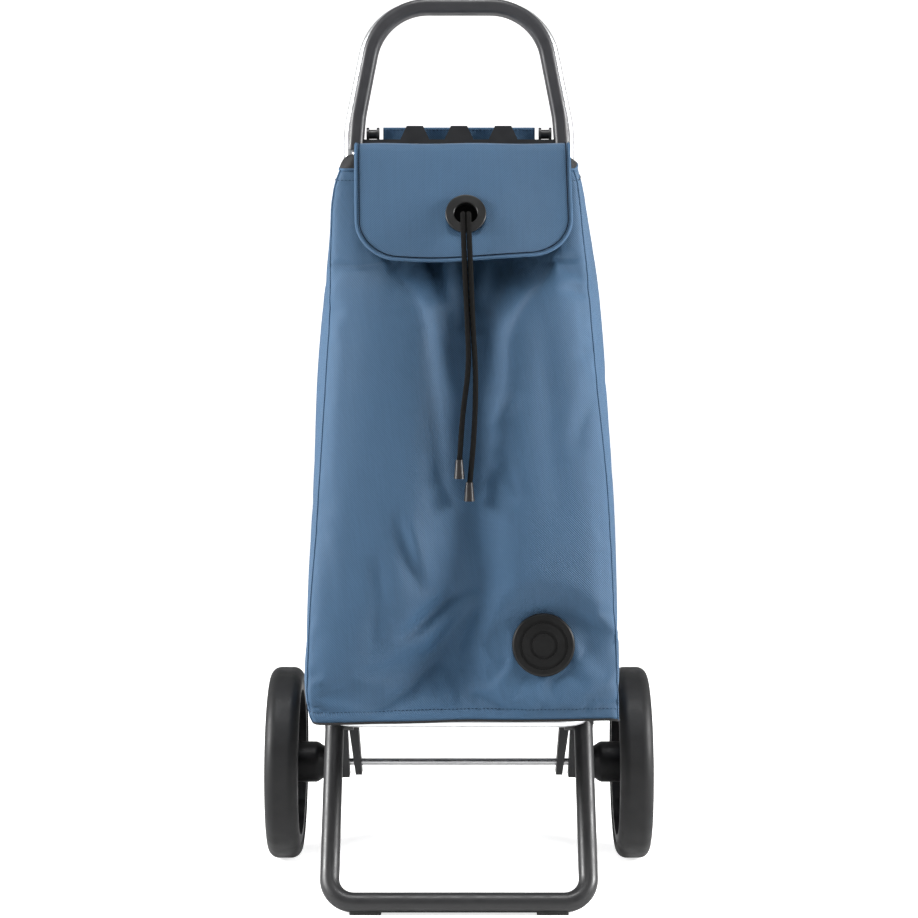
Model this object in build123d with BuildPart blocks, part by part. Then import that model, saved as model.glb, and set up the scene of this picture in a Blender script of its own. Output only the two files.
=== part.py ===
from build123d import *
import os

# A folding shopping trolley. Origin on the floor under the middle of the axle.
# +X to the right, -Y to the front, +Z up. Millimetres.

# Wheels and axle
WHEEL_R = 110
TYRE_IN_R = 91
WHEEL_X_IN = 183
WHEEL_X_OUT = 221.5
AXLE_Z = WHEEL_R
AXLE_R = 4
AXLE_END_X = 214.5
HUB_X_IN = 157
HUB_X_OUT = 216
HUB_R = 23.5
BUSH_R = 9
RUNNING_GAP = 0.06
SPOKE_PAIRS = 5

# Aluminium frame arch
LEG_X = 128
TUBE_W = 14
TUBE_D = 28
TUBE_WALL = 1.5
TUBE_FOOT_Z = 156
LEAN_Z = 852
ARCH_TOP_Z = 997.2
ARCH_CORNER_X = 99
ARCH_R = 70

# Handle moulding
GRIP_W = 17.5
GRIP_D = 34
GRIP_END_Z = 829

# Crosspiece that carries the bag
CROSS_FRONT_Y = -14
CROSS_BACK_Y = 8
CROSS_LOW_Z = 826
CROSS_TOP_Z = 841
TOOTH_TOP_Z = 857
TOOTH_PITCH = 51.7

# Lower joints
SOCKET_X_IN = 117
SOCKET_X_OUT = 139
SOCKET_D = 36
SOCKET_LOW_Z = 150
SOCKET_TOP_Z = 232
ARM_W = 10

# Folding platform
PIVOT_Y = -60
PIVOT_Z = 203
KNUCKLE_R = 8
PIN_R = 3
PIN_GAP = 0.05
RAIL_X = 128
RAIL_W = 24
RAIL_H = 12
RAIL_Z = 205
RAIL_BACK_Y = -80
PLATFORM_FRONT_Y = -252
PLATFORM_CORNER_R = 28

# Folding foot
FOOT_PIVOT_Y = -135
FOOT_PIVOT_Z = 184
FOOT_BAR_Y = -258
FOOT_BAR_Z = 12
FOOT_X = 139
FOOT_R = 10.5
FOOT_WALL = 1.5
FOOT_CORNER_R = 26.5
FOOT_EYE = 11

# Bag, flap and board
BAG_LOW_Z = 213
BAG_TOP_Z = 803
BAG_BACK_Y = -21
BAG_FRONT_LOW_Y = -272
BAG_FRONT_TOP_Y = -205
BAG_WALL = 3
FLAP_X = 5
FLAP_HALF_W = 116.5
FLAP_Z = 824
FLAP_BACK_Y = -30
FLAP_BEND_Y = -199
FLAP_LOW_Y = -248
FLAP_LOW_Z = 700
FLAP_T = 3.5
FLAP_CORNER_R = 45
EYELET_X = 7.3
EYELET_Z = 746.5
CORD_R = 3.2
EMBLEM_X = 90
EMBLEM_Z = 288
EMBLEM_R = 33.5

WHEEL_AXIS = Axis((0, 0, AXLE_Z), (1, 0, 0))


def save(part, node):
    """Labels a finished part and writes it as its own file."""
    part.label = node
    export_step(part, f"parts/{node}.step")


def save_pair(right, name):
    """Saves a right-hand part and its mirror image for the left side."""
    with BuildPart() as left:
        mirror(right.part, about=Plane.YZ)
    save(right.part, f"{name}_right")
    save(left.part, f"{name}_left")


def x_rod(radius, x_from, x_to, y, z, mode=Mode.ADD):
    """A round bar along X, added to or cut from the part being built."""
    with Locations(Location((x_from, y, z), (0, 90, 0))):
        Cylinder(radius, x_to - x_from, align=(Align.CENTER, Align.CENTER, Align.MIN), mode=mode)


os.makedirs("parts", exist_ok=True)

# ---------------------------------------------------------------- wheels
TYRE_SHOULDER = 12
TYRE_LIP_R = 96
RIM_FLANGE_R = 93
RIM_BARREL_R = 84
RIM_EDGE = 1.5
RIM_INSET = 5
SPOKE_W = 7
SPOKE_T = 14
SPOKE_SPLAY = 9
SPOKE_BITE = 6
BARREL_X_MID = (WHEEL_X_IN + WHEEL_X_OUT) / 2
HUB_NOSE_R = HUB_R - 6
HUB_TAPER = 9
HUB_ROUND = 8
BUSH_X_IN = HUB_X_IN + 0.5
BUSH_X_OUT = HUB_X_OUT - 4
CAP_T = 5
CAP_ROUND = 4

with BuildPart() as tyre:
    with BuildSketch(Plane.XZ) as tyre_profile:
        with BuildLine():
            Polyline(
                (WHEEL_X_IN + RIM_INSET, AXLE_Z + TYRE_IN_R),
                (WHEEL_X_IN + RIM_INSET, AXLE_Z + RIM_FLANGE_R),
                (WHEEL_X_IN, AXLE_Z + TYRE_LIP_R),
                (WHEEL_X_IN, AXLE_Z + WHEEL_R),
                (WHEEL_X_OUT, AXLE_Z + WHEEL_R),
                (WHEEL_X_OUT, AXLE_Z + TYRE_LIP_R),
                (WHEEL_X_OUT - RIM_INSET, AXLE_Z + RIM_FLANGE_R),
                (WHEEL_X_OUT - RIM_INSET, AXLE_Z + TYRE_IN_R),
                close=True,
            )
        make_face()
        fillet(tyre_profile.vertices().group_by(Axis.Y)[-1], TYRE_SHOULDER)
    revolve(axis=WHEEL_AXIS)

with BuildPart() as rim:
    with BuildSketch(Plane.XZ) as rim_profile:
        with BuildLine():
            Polyline(
                (WHEEL_X_IN + RIM_EDGE, AXLE_Z + RIM_BARREL_R),
                (WHEEL_X_IN + RIM_EDGE, AXLE_Z + RIM_FLANGE_R),
                (WHEEL_X_IN + RIM_INSET, AXLE_Z + RIM_FLANGE_R),
                (WHEEL_X_IN + RIM_INSET, AXLE_Z + TYRE_IN_R),
                (WHEEL_X_OUT - RIM_INSET, AXLE_Z + TYRE_IN_R),
                (WHEEL_X_OUT - RIM_INSET, AXLE_Z + RIM_FLANGE_R),
                (WHEEL_X_OUT - RIM_EDGE, AXLE_Z + RIM_FLANGE_R),
                (WHEEL_X_OUT - RIM_EDGE, AXLE_Z + RIM_BARREL_R),
                close=True,
            )
        make_face()
    revolve(axis=WHEEL_AXIS)
    with BuildSketch(Plane.YZ.offset(BARREL_X_MID - SPOKE_T / 2)):
        with Locations((0, AXLE_Z)):
            for splay in (-SPOKE_SPLAY, SPOKE_SPLAY):
                with PolarLocations((HUB_R + RIM_BARREL_R) / 2, SPOKE_PAIRS, start_angle=90 + splay):
                    Rectangle(RIM_BARREL_R - HUB_R + SPOKE_BITE, SPOKE_W)
    extrude(amount=SPOKE_T)
    with BuildSketch(Plane.XZ) as hub_profile:
        with BuildLine():
            Polyline(
                (HUB_X_IN, AXLE_Z + BUSH_R),
                (HUB_X_IN, AXLE_Z + HUB_NOSE_R),
                (HUB_X_IN + HUB_TAPER, AXLE_Z + HUB_R),
                (HUB_X_OUT, AXLE_Z + HUB_R),
                (HUB_X_OUT, AXLE_Z + BUSH_R),
                close=True,
            )
        make_face()
        fillet(hub_profile.vertices().sort_by_distance((HUB_X_IN + HUB_TAPER, AXLE_Z + HUB_R))[0], HUB_ROUND)
    revolve(axis=WHEEL_AXIS)

with BuildPart() as bush:
    x_rod(BUSH_R, BUSH_X_IN, BUSH_X_OUT, 0, AXLE_Z)
    x_rod(AXLE_R + RUNNING_GAP, HUB_X_IN, HUB_X_OUT, 0, AXLE_Z, Mode.SUBTRACT)

with BuildPart() as hub_cap:
    x_rod(HUB_R - 1, HUB_X_OUT, HUB_X_OUT + CAP_T, 0, AXLE_Z)
    fillet(hub_cap.edges().group_by(Axis.X)[-1], CAP_ROUND)

save_pair(tyre, "tyre")
save_pair(rim, "rim")
save_pair(bush, "bush")
save_pair(hub_cap, "hub_cap")

# ---------------------------------------------------------------- axle
SPACER_R = AXLE_R + 5
SPACER_PLAY = 0.2
CLIP_R = BUSH_R - 1.5
CLIP_X = BUSH_X_OUT + 0.3
CLIP_T = 1

with BuildPart() as axle:
    x_rod(AXLE_R, -AXLE_END_X, AXLE_END_X, 0, AXLE_Z)
    chamfer(axle.edges(), 0.8)
save(axle.part, "axle")

with BuildPart() as spacer:
    x_rod(SPACER_R, SOCKET_X_OUT + SPACER_PLAY, HUB_X_IN - SPACER_PLAY, 0, AXLE_Z)
    x_rod(AXLE_R, SOCKET_X_OUT, HUB_X_IN, 0, AXLE_Z, Mode.SUBTRACT)
save_pair(spacer, "axle_spacer")

with BuildPart() as clip:
    x_rod(CLIP_R, CLIP_X, CLIP_X + CLIP_T, 0, AXLE_Z)
    x_rod(AXLE_R, BUSH_X_OUT, HUB_X_OUT, 0, AXLE_Z, Mode.SUBTRACT)
save_pair(clip, "axle_clip")

# ---------------------------------------------------------------- lower joints
BORE_X_FROM = 100
BORE_X_TO = 160
SOCKET_ROUND = 5
SCREW_R = 2.5
SCREW_Z = 205
SCREW_HEAD_R = 4.5
SCREW_HEAD_T = 2.5
SCREW_X_IN = SOCKET_X_IN + 1
PRONG_D = 26
PRONG_TOP_Z = SOCKET_LOW_Z + 2
PRONG_LOW_Z = 97
INNER_PRONG = ((118, PRONG_TOP_Z), (129, PRONG_TOP_Z), (121, PRONG_LOW_Z), (113.5, PRONG_LOW_Z))
OUTER_PRONG = (
    (131, PRONG_TOP_Z), (SOCKET_X_OUT, PRONG_TOP_Z), (137, PRONG_LOW_Z - 3), (128, PRONG_LOW_Z - 3),
)
ARM_X_IN = LEG_X - 2 - ARM_W / 2
ARM_X_OUT = ARM_X_IN + ARM_W
ARM_BACK_Y = -10
ARM_LOW_Z = 187
ARM_KNEE_Y = -34

with BuildPart() as joint_right:
    with BuildSketch(Plane.XY.offset(SOCKET_LOW_Z)):
        with Locations((LEG_X, 0)):
            RectangleRounded(SOCKET_X_OUT - SOCKET_X_IN, SOCKET_D, SOCKET_ROUND)
    extrude(amount=SOCKET_TOP_Z - SOCKET_LOW_Z)
    for prong in (INNER_PRONG, OUTER_PRONG):
        with BuildSketch(Plane.XZ):
            Polygon(*prong, align=None)
        extrude(amount=PRONG_D / 2, both=True)
    with BuildSketch(Plane.YZ.offset(ARM_X_IN)):
        Polygon(
            (ARM_BACK_Y, ARM_LOW_Z), (ARM_BACK_Y, PIVOT_Z + KNUCKLE_R), (PIVOT_Y, PIVOT_Z + KNUCKLE_R),
            (PIVOT_Y, PIVOT_Z - KNUCKLE_R), (ARM_KNEE_Y, ARM_LOW_Z), align=None,
        )
        with Locations((PIVOT_Y, PIVOT_Z)):
            Circle(KNUCKLE_R)
    extrude(amount=ARM_W)
    with BuildSketch(Plane.XY.offset(TUBE_FOOT_Z)):
        with Locations((LEG_X, 0)):
            SlotOverall(TUBE_D, TUBE_W, rotation=90)
    extrude(amount=SOCKET_TOP_Z, mode=Mode.SUBTRACT)
    x_rod(AXLE_R, BORE_X_FROM, BORE_X_TO, 0, AXLE_Z, Mode.SUBTRACT)
    x_rod(PIN_R, BORE_X_FROM, BORE_X_TO, PIVOT_Y, PIVOT_Z, Mode.SUBTRACT)
    x_rod(SCREW_R, SCREW_X_IN, BORE_X_TO, 0, SCREW_Z, Mode.SUBTRACT)
save_pair(joint_right, "lower_joint")

with BuildPart() as joint_screw:
    x_rod(SCREW_R, SCREW_X_IN, SOCKET_X_OUT, 0, SCREW_Z)
    x_rod(SCREW_HEAD_R, SOCKET_X_OUT, SOCKET_X_OUT + SCREW_HEAD_T, 0, SCREW_Z)
    mirror(about=Plane.YZ)
save(joint_screw.part, "joint_screws")

PLATFORM_PIN_X_IN = 112.5
PLATFORM_PIN_X_OUT = 140
PIN_HEAD_R = PIN_R + 2
PIN_HEAD_T = 1.5

with BuildPart() as platform_pins:
    x_rod(PIN_R, PLATFORM_PIN_X_IN, PLATFORM_PIN_X_OUT, PIVOT_Y, PIVOT_Z)
    for head_x in (PLATFORM_PIN_X_IN - PIN_HEAD_T, PLATFORM_PIN_X_OUT):
        x_rod(PIN_HEAD_R, head_x, head_x + PIN_HEAD_T, PIVOT_Y, PIVOT_Z)
    mirror(about=Plane.YZ)
save(platform_pins.part, "platform_pins")

# ---------------------------------------------------------------- frame arch
with BuildPart() as frame_tube:
    with BuildLine(Plane.XZ) as arch:
        Polyline(
            (-LEG_X, TUBE_FOOT_Z), (-LEG_X, LEAN_Z), (-ARCH_CORNER_X, ARCH_TOP_Z),
            (ARCH_CORNER_X, ARCH_TOP_Z), (LEG_X, LEAN_Z), (LEG_X, TUBE_FOOT_Z),
        )
        fillet(arch.vertices().group_by(Axis.Z)[-1], ARCH_R)
        fillet(arch.vertices().filter_by_position(Axis.Z, LEAN_Z - 1, LEAN_Z + 1), 2 * ARCH_R)
    with BuildSketch(Plane((-LEG_X, 0, TUBE_FOOT_Z), x_dir=(1, 0, 0), z_dir=(0, 0, 1))):
        SlotOverall(TUBE_D, TUBE_W, rotation=90)
        SlotOverall(TUBE_D - 2 * TUBE_WALL, TUBE_W - 2 * TUBE_WALL, rotation=90, mode=Mode.SUBTRACT)
    sweep(path=arch.wire())
    x_rod(SCREW_R, -BORE_X_TO, BORE_X_TO, 0, SCREW_Z, Mode.SUBTRACT)
save(frame_tube.part, "frame_tube")

with BuildPart() as arch_solid:
    with BuildSketch(Plane((-LEG_X, 0, TUBE_FOOT_Z), x_dir=(1, 0, 0), z_dir=(0, 0, 1))):
        SlotOverall(TUBE_D, TUBE_W, rotation=90)
    sweep(path=arch.wire())

# ---------------------------------------------------------------- handle
GRIP_END_X = 121.5
GRIP_LEAN_X = 118.5
GRIP_LEAN_Z = 868
GRIP_CORNER_X = 93.4
GRIP_TOP_Z = 997.2
GRIP_R = 69
GRIP_ROUND = 6

with BuildPart() as handle_grip:
    with BuildLine(Plane.XZ) as grip_line:
        Polyline(
            (-GRIP_END_X, GRIP_END_Z), (-GRIP_LEAN_X, GRIP_LEAN_Z), (-GRIP_CORNER_X, GRIP_TOP_Z),
            (GRIP_CORNER_X, GRIP_TOP_Z), (GRIP_LEAN_X, GRIP_LEAN_Z), (GRIP_END_X, GRIP_END_Z),
        )
        fillet(grip_line.vertices().group_by(Axis.Z)[-1], GRIP_R)
        fillet(grip_line.vertices().filter_by_position(Axis.Z, GRIP_LEAN_Z - 1, GRIP_LEAN_Z + 1), 2 * GRIP_R)
    with BuildSketch(Plane(grip_line.wire() @ 0, x_dir=(1, 0, 0), z_dir=grip_line.wire() % 0)):
        RectangleRounded(GRIP_W, GRIP_D, GRIP_ROUND)
    sweep(path=grip_line.wire())
    add(arch_solid.part, mode=Mode.SUBTRACT)
save(handle_grip.part, "handle_grip")

# ---------------------------------------------------------------- crosspiece
LUG_X = 101
LUG_Y = -4
LUG_Z = 847.5
LUG_R = 8
LUG_CORE_R = LUG_R - 2.5
LUG_CORE_W = 10
LUG_RIM_W = 3
CROSS_HALF = LEG_X - TUBE_W / 2
SLIT_FRONT_Y = -8
SLIT_BACK_Y = -2
SLIT_LOW_Z = CROSS_TOP_Z - 8
TOOTH_TOP_HALF = 9.5
TOOTH_FOOT_HALF = 17.5
TOOTH_T = 4.5
TOOTH_BITE = 1

with BuildPart() as crossbar:
    with BuildSketch(Plane.YZ.offset(-CROSS_HALF)):
        Polygon(
            (CROSS_FRONT_Y, CROSS_LOW_Z), (CROSS_BACK_Y, CROSS_LOW_Z), (CROSS_BACK_Y, CROSS_TOP_Z),
            (SLIT_BACK_Y, CROSS_TOP_Z), (SLIT_BACK_Y, SLIT_LOW_Z),
            (SLIT_FRONT_Y, SLIT_LOW_Z), (SLIT_FRONT_Y, CROSS_TOP_Z),
            (CROSS_FRONT_Y, CROSS_TOP_Z), align=None,
        )
    extrude(amount=2 * CROSS_HALF)
    with BuildSketch(Plane.XZ.offset(-CROSS_FRONT_Y)):
        for tooth in (-1, 0, 1):
            centre = tooth * TOOTH_PITCH
            Polygon(
                (centre - TOOTH_FOOT_HALF, CROSS_TOP_Z - TOOTH_BITE), (centre - TOOTH_TOP_HALF, TOOTH_TOP_Z),
                (centre + TOOTH_TOP_HALF, TOOTH_TOP_Z), (centre + TOOTH_FOOT_HALF, CROSS_TOP_Z - TOOTH_BITE),
                align=None,
            )
    extrude(amount=-TOOTH_T)
    for lug_x in (-LUG_X, LUG_X):
        x_rod(LUG_CORE_R, lug_x - LUG_CORE_W / 2, lug_x + LUG_CORE_W / 2, LUG_Y, LUG_Z)
        for rim_x in (lug_x - LUG_CORE_W / 2 - LUG_RIM_W + 0.5, lug_x + LUG_CORE_W / 2 - 0.5):
            x_rod(LUG_R, rim_x, rim_x + LUG_RIM_W, LUG_Y, LUG_Z)
    add(handle_grip.part, mode=Mode.SUBTRACT)
    add(arch_solid.part, mode=Mode.SUBTRACT)
save(crossbar.part, "crossbar")

STRIP_W = 178
STRIP_T = 2
STRIP_LOW_Z = SLIT_LOW_Z + 1
STRIP_TOP_Z = TOOTH_TOP_Z - 2
STRIP_ROUND = 3

with BuildPart() as hang_strip:
    with BuildSketch(Plane.XZ.offset(-(SLIT_FRONT_Y + SLIT_BACK_Y) / 2 - STRIP_T / 2)):
        with Locations((0, (STRIP_LOW_Z + STRIP_TOP_Z) / 2)):
            RectangleRounded(STRIP_W, STRIP_TOP_Z - STRIP_LOW_Z, STRIP_ROUND)
    extrude(amount=STRIP_T)
save(hang_strip.part, "hang_strip")

# ---------------------------------------------------------------- platform
CHEEK_T = 6
CHEEK_GAP = 0.3
BRACE_Y = -205
BRACE_R = 5
BRACE_HALF = RAIL_X - 7
SPIGOT_LENGTH = 22
FORK_LOW_Z = PIVOT_Z - 6
FORK_H = 14
FORK_D = 10

with BuildPart() as platform_tube:
    with BuildLine(Plane.XY.offset(RAIL_Z)) as rail_line:
        Polyline(
            (-RAIL_X, RAIL_BACK_Y), (-RAIL_X, PLATFORM_FRONT_Y),
            (RAIL_X, PLATFORM_FRONT_Y), (RAIL_X, RAIL_BACK_Y),
        )
        fillet(rail_line.vertices().group_by(Axis.Y)[0], PLATFORM_CORNER_R)
    with BuildSketch(Plane((-RAIL_X, RAIL_BACK_Y, RAIL_Z), x_dir=(1, 0, 0), z_dir=(0, -1, 0))):
        SlotOverall(RAIL_W, RAIL_H)
        SlotOverall(RAIL_W - 2 * TUBE_WALL, RAIL_H - 2 * TUBE_WALL, mode=Mode.SUBTRACT)
    sweep(path=rail_line.wire())
    x_rod(BRACE_R, -BRACE_HALF, BRACE_HALF, BRACE_Y, RAIL_Z, Mode.SUBTRACT)
save(platform_tube.part, "platform_tube")

with BuildPart() as platform_brace:
    x_rod(BRACE_R, -BRACE_HALF, BRACE_HALF, BRACE_Y, RAIL_Z)
save(platform_brace.part, "platform_brace")

with BuildPart() as fork:
    with BuildSketch(Plane((RAIL_X, RAIL_BACK_Y, RAIL_Z), x_dir=(1, 0, 0), z_dir=(0, -1, 0))):
        SlotOverall(RAIL_W - 2 * TUBE_WALL, RAIL_H - 2 * TUBE_WALL)
    extrude(amount=SPIGOT_LENGTH)
    with BuildSketch(Plane.XY.offset(FORK_LOW_Z)):
        with Locations(((ARM_X_IN + ARM_X_OUT) / 2, RAIL_BACK_Y + FORK_D / 2)):
            Rectangle(ARM_W + 2 * (CHEEK_GAP + CHEEK_T), FORK_D)
    extrude(amount=FORK_H)
    for x_from in (ARM_X_IN - CHEEK_GAP - CHEEK_T, ARM_X_OUT + CHEEK_GAP):
        with BuildSketch(Plane.YZ.offset(x_from)):
            with Locations((PIVOT_Y, PIVOT_Z)):
                Circle(KNUCKLE_R)
            Polygon(
                (PIVOT_Y, PIVOT_Z - KNUCKLE_R), (PIVOT_Y, PIVOT_Z + KNUCKLE_R),
                (RAIL_BACK_Y + 2, PIVOT_Z + KNUCKLE_R), (RAIL_BACK_Y + 2, FORK_LOW_Z), align=None,
            )
        extrude(amount=CHEEK_T)
    x_rod(PIN_R + PIN_GAP, BORE_X_FROM, BORE_X_TO, PIVOT_Y, PIVOT_Z, Mode.SUBTRACT)
save_pair(fork, "platform_fork")

# ---------------------------------------------------------------- foot brackets under the rails
BRACKET_X_IN = 118
BRACKET_X_OUT = 140
CHEEK_X_OUT = FOOT_X - FOOT_R - CHEEK_GAP
SADDLE_Z = RAIL_Z - RAIL_H / 2
SADDLE_T = 4
SADDLE_LENGTH = 60
RIVET_R = 2.2
RIVET_HEAD_R = 3.5
RIVET_HEAD_T = 1.5
RIVET_SPOTS = [(BRACKET_X_IN + 5, FOOT_PIVOT_Y + reach) for reach in (-24, 24)]
EAR_TOP_HALF = 17
EAR_LOW_HALF = 10

with BuildPart() as foot_bracket:
    with BuildSketch(Plane.XY.offset(SADDLE_Z - SADDLE_T)):
        with Locations(((BRACKET_X_IN + BRACKET_X_OUT) / 2, FOOT_PIVOT_Y)):
            RectangleRounded(BRACKET_X_OUT - BRACKET_X_IN, SADDLE_LENGTH, SADDLE_T)
        with Locations(*RIVET_SPOTS):
            Circle(RIVET_R, mode=Mode.SUBTRACT)
    extrude(amount=SADDLE_T)
    with BuildSketch(Plane.YZ.offset(BRACKET_X_IN)):
        Polygon(
            (FOOT_PIVOT_Y - EAR_TOP_HALF, SADDLE_Z - 1), (FOOT_PIVOT_Y + EAR_TOP_HALF, SADDLE_Z - 1),
            (FOOT_PIVOT_Y + EAR_LOW_HALF, FOOT_PIVOT_Z - 4), (FOOT_PIVOT_Y - EAR_LOW_HALF, FOOT_PIVOT_Z - 4),
            align=None,
        )
        with Locations((FOOT_PIVOT_Y, FOOT_PIVOT_Z)):
            Circle(FOOT_EYE)
    extrude(amount=CHEEK_X_OUT - BRACKET_X_IN)
    x_rod(PIN_R, BORE_X_FROM, BORE_X_TO, FOOT_PIVOT_Y, FOOT_PIVOT_Z, Mode.SUBTRACT)
save_pair(foot_bracket, "foot_bracket")

FOOT_PIN_X_OUT = FOOT_X + FOOT_R + 0.6

with BuildPart() as foot_pins:
    x_rod(PIN_R, BRACKET_X_IN, FOOT_PIN_X_OUT, FOOT_PIVOT_Y, FOOT_PIVOT_Z)
    for head_x in (BRACKET_X_IN - PIN_HEAD_T, FOOT_PIN_X_OUT):
        x_rod(PIN_HEAD_R, head_x, head_x + PIN_HEAD_T, FOOT_PIVOT_Y, FOOT_PIVOT_Z)
    mirror(about=Plane.YZ)
save(foot_pins.part, "foot_pins")

with BuildPart() as bracket_rivets:
    for radius, height in ((RIVET_R, SADDLE_T), (RIVET_HEAD_R, -RIVET_HEAD_T)):
        with BuildSketch(Plane.XY.offset(SADDLE_Z - SADDLE_T)):
            with Locations(*RIVET_SPOTS):
                Circle(radius)
        extrude(amount=height)
    mirror(about=Plane.YZ)
save(bracket_rivets.part, "bracket_rivets")

# ---------------------------------------------------------------- foot
LEG_RUN = Vector(0, FOOT_BAR_Y - FOOT_PIVOT_Y, FOOT_BAR_Z - FOOT_PIVOT_Z)
LEG_DIR = LEG_RUN.normalized()
FOOT_PLANE = Plane(
    (0, FOOT_PIVOT_Y, FOOT_PIVOT_Z), x_dir=(1, 0, 0), z_dir=Vector(1, 0, 0).cross(LEG_DIR)
)
LEG_PLANE = Plane((FOOT_X, FOOT_PIVOT_Y, FOOT_PIVOT_Z), x_dir=(1, 0, 0), z_dir=LEG_DIR)
PLUG_R = FOOT_R - FOOT_WALL
PLUG_DEPTH = 18
PAD_X = 100
PAD_W = 34
PAD_D = 13
PAD_H = 4.5
PAD_ROUND = 2

with BuildPart() as foot_tube:
    with BuildLine(FOOT_PLANE) as foot_line:
        Polyline(
            (-FOOT_X, FOOT_EYE), (-FOOT_X, LEG_RUN.length),
            (FOOT_X, LEG_RUN.length), (FOOT_X, FOOT_EYE),
        )
        fillet(foot_line.vertices().group_by(Axis.Z)[0], FOOT_CORNER_R)
    with BuildSketch(Plane(foot_line.wire() @ 0, x_dir=(1, 0, 0), z_dir=LEG_DIR)):
        Circle(FOOT_R)
        Circle(PLUG_R, mode=Mode.SUBTRACT)
    sweep(path=foot_line.wire())
save(foot_tube.part, "foot_tube")

with BuildPart() as foot_plug:
    x_rod(FOOT_R, FOOT_X - FOOT_R, FOOT_X + FOOT_R, FOOT_PIVOT_Y, FOOT_PIVOT_Z)
    for radius, length in ((FOOT_R, FOOT_EYE), (PLUG_R, FOOT_EYE + PLUG_DEPTH)):
        with BuildSketch(LEG_PLANE):
            Circle(radius)
        extrude(amount=length)
    x_rod(PIN_R + PIN_GAP, BORE_X_FROM, BORE_X_TO, FOOT_PIVOT_Y, FOOT_PIVOT_Z, Mode.SUBTRACT)
save_pair(foot_plug, "foot_plug")

with BuildPart() as foot_pads:
    with BuildSketch(Plane.XY):
        with Locations((-PAD_X, FOOT_BAR_Y), (PAD_X, FOOT_BAR_Y)):
            RectangleRounded(PAD_W, PAD_D, PAD_ROUND)
    extrude(amount=PAD_H)
    x_rod(FOOT_R, -FOOT_X, FOOT_X, FOOT_BAR_Y, FOOT_BAR_Z, Mode.SUBTRACT)
save(foot_pads.part, "foot_pads")

# ---------------------------------------------------------------- bag and its board
BAG_RINGS = (
    (BAG_LOW_Z, 168),
    (430, 162),
    (655, 149),
    (BAG_TOP_Z, 132),
)
BAG_CORNER_R = 22
COLLAR_LOW_Z = BAG_TOP_Z - 10
COLLAR_TOP_Z = 820
COLLAR_W = 250
COLLAR_D = 172
COLLAR_T = 2
COLLAR_CORNER_R = 18
BOARD_Z = 217
BOARD_T = 3
BOARD_W = 306
BOARD_D = 226
BOARD_Y = -144
BOARD_CORNER_R = 20


def bag_front_y(z):
    """Y of the bag's flat leaning front at height z."""
    share = (z - BAG_LOW_Z) / (BAG_TOP_Z - BAG_LOW_Z)
    return BAG_FRONT_LOW_Y + share * (BAG_FRONT_TOP_Y - BAG_FRONT_LOW_Y)


def bag_ring(z, half_width, inset):
    """One rounded cross-section of the bag at height z, pulled in by inset."""
    depth = BAG_BACK_Y - bag_front_y(z) - 2 * inset
    with BuildSketch(Plane.XY.offset(z)) as ring:
        with Locations((0, (BAG_BACK_Y + bag_front_y(z)) / 2)):
            RectangleRounded(2 * (half_width - inset), depth, BAG_CORNER_R - inset)
    return ring.sketch


with BuildPart() as bag_inside:
    for ring_z, ring_half in BAG_RINGS:
        add(bag_ring(ring_z, ring_half, BAG_WALL))
    loft()
    split(bisect_by=Plane.XY.offset(BAG_LOW_Z + BAG_WALL), keep=Keep.TOP)

with BuildPart() as bag:
    for ring_z, ring_half in BAG_RINGS:
        add(bag_ring(ring_z, ring_half, 0))
    loft()
    add(bag_inside.part, mode=Mode.SUBTRACT)
save(bag.part, "bag")

with BuildPart() as bag_collar:
    with BuildSketch(Plane.XY.offset(COLLAR_LOW_Z)) as collar_ring:
        with Locations((0, (BAG_BACK_Y + BAG_FRONT_TOP_Y) / 2)):
            RectangleRounded(COLLAR_W, COLLAR_D, COLLAR_CORNER_R)
        offset(amount=-COLLAR_T, mode=Mode.SUBTRACT)
    extrude(amount=COLLAR_TOP_Z - COLLAR_LOW_Z)
save(bag_collar.part, "bag_collar")

with BuildPart() as base_board:
    with BuildSketch(Plane.XY.offset(BOARD_Z)):
        with Locations((0, BOARD_Y)):
            RectangleRounded(BOARD_W, BOARD_D, BOARD_CORNER_R)
    extrude(amount=BOARD_T)
save(base_board.part, "base_board")

# ---------------------------------------------------------------- emblem disc
FRONT_NORMAL = Vector(0, -(BAG_TOP_Z - BAG_LOW_Z), BAG_FRONT_TOP_Y - BAG_FRONT_LOW_Y).normalized()
EMBLEM_LIFT = 0.6
EMBLEM_T = 5
EMBLEM_ROUND = 3
GROOVE_RADII = (26, 15)
GROOVE_W = 3
GROOVE_DEPTH = 1
EMBLEM_PLANE = Plane(
    (EMBLEM_X, bag_front_y(EMBLEM_Z) - EMBLEM_LIFT, EMBLEM_Z), x_dir=(1, 0, 0), z_dir=FRONT_NORMAL
)

with BuildPart() as emblem:
    with BuildSketch(EMBLEM_PLANE):
        Circle(EMBLEM_R)
    extrude(amount=EMBLEM_T)
    fillet(emblem.faces().sort_by(Axis.Y)[0].edges(), EMBLEM_ROUND)
    for groove_r in GROOVE_RADII:
        with BuildSketch(EMBLEM_PLANE.offset(EMBLEM_T)):
            Circle(groove_r)
            Circle(groove_r - GROOVE_W, mode=Mode.SUBTRACT)
        extrude(amount=-GROOVE_DEPTH, mode=Mode.SUBTRACT)
save(emblem.part, "emblem")

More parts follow.
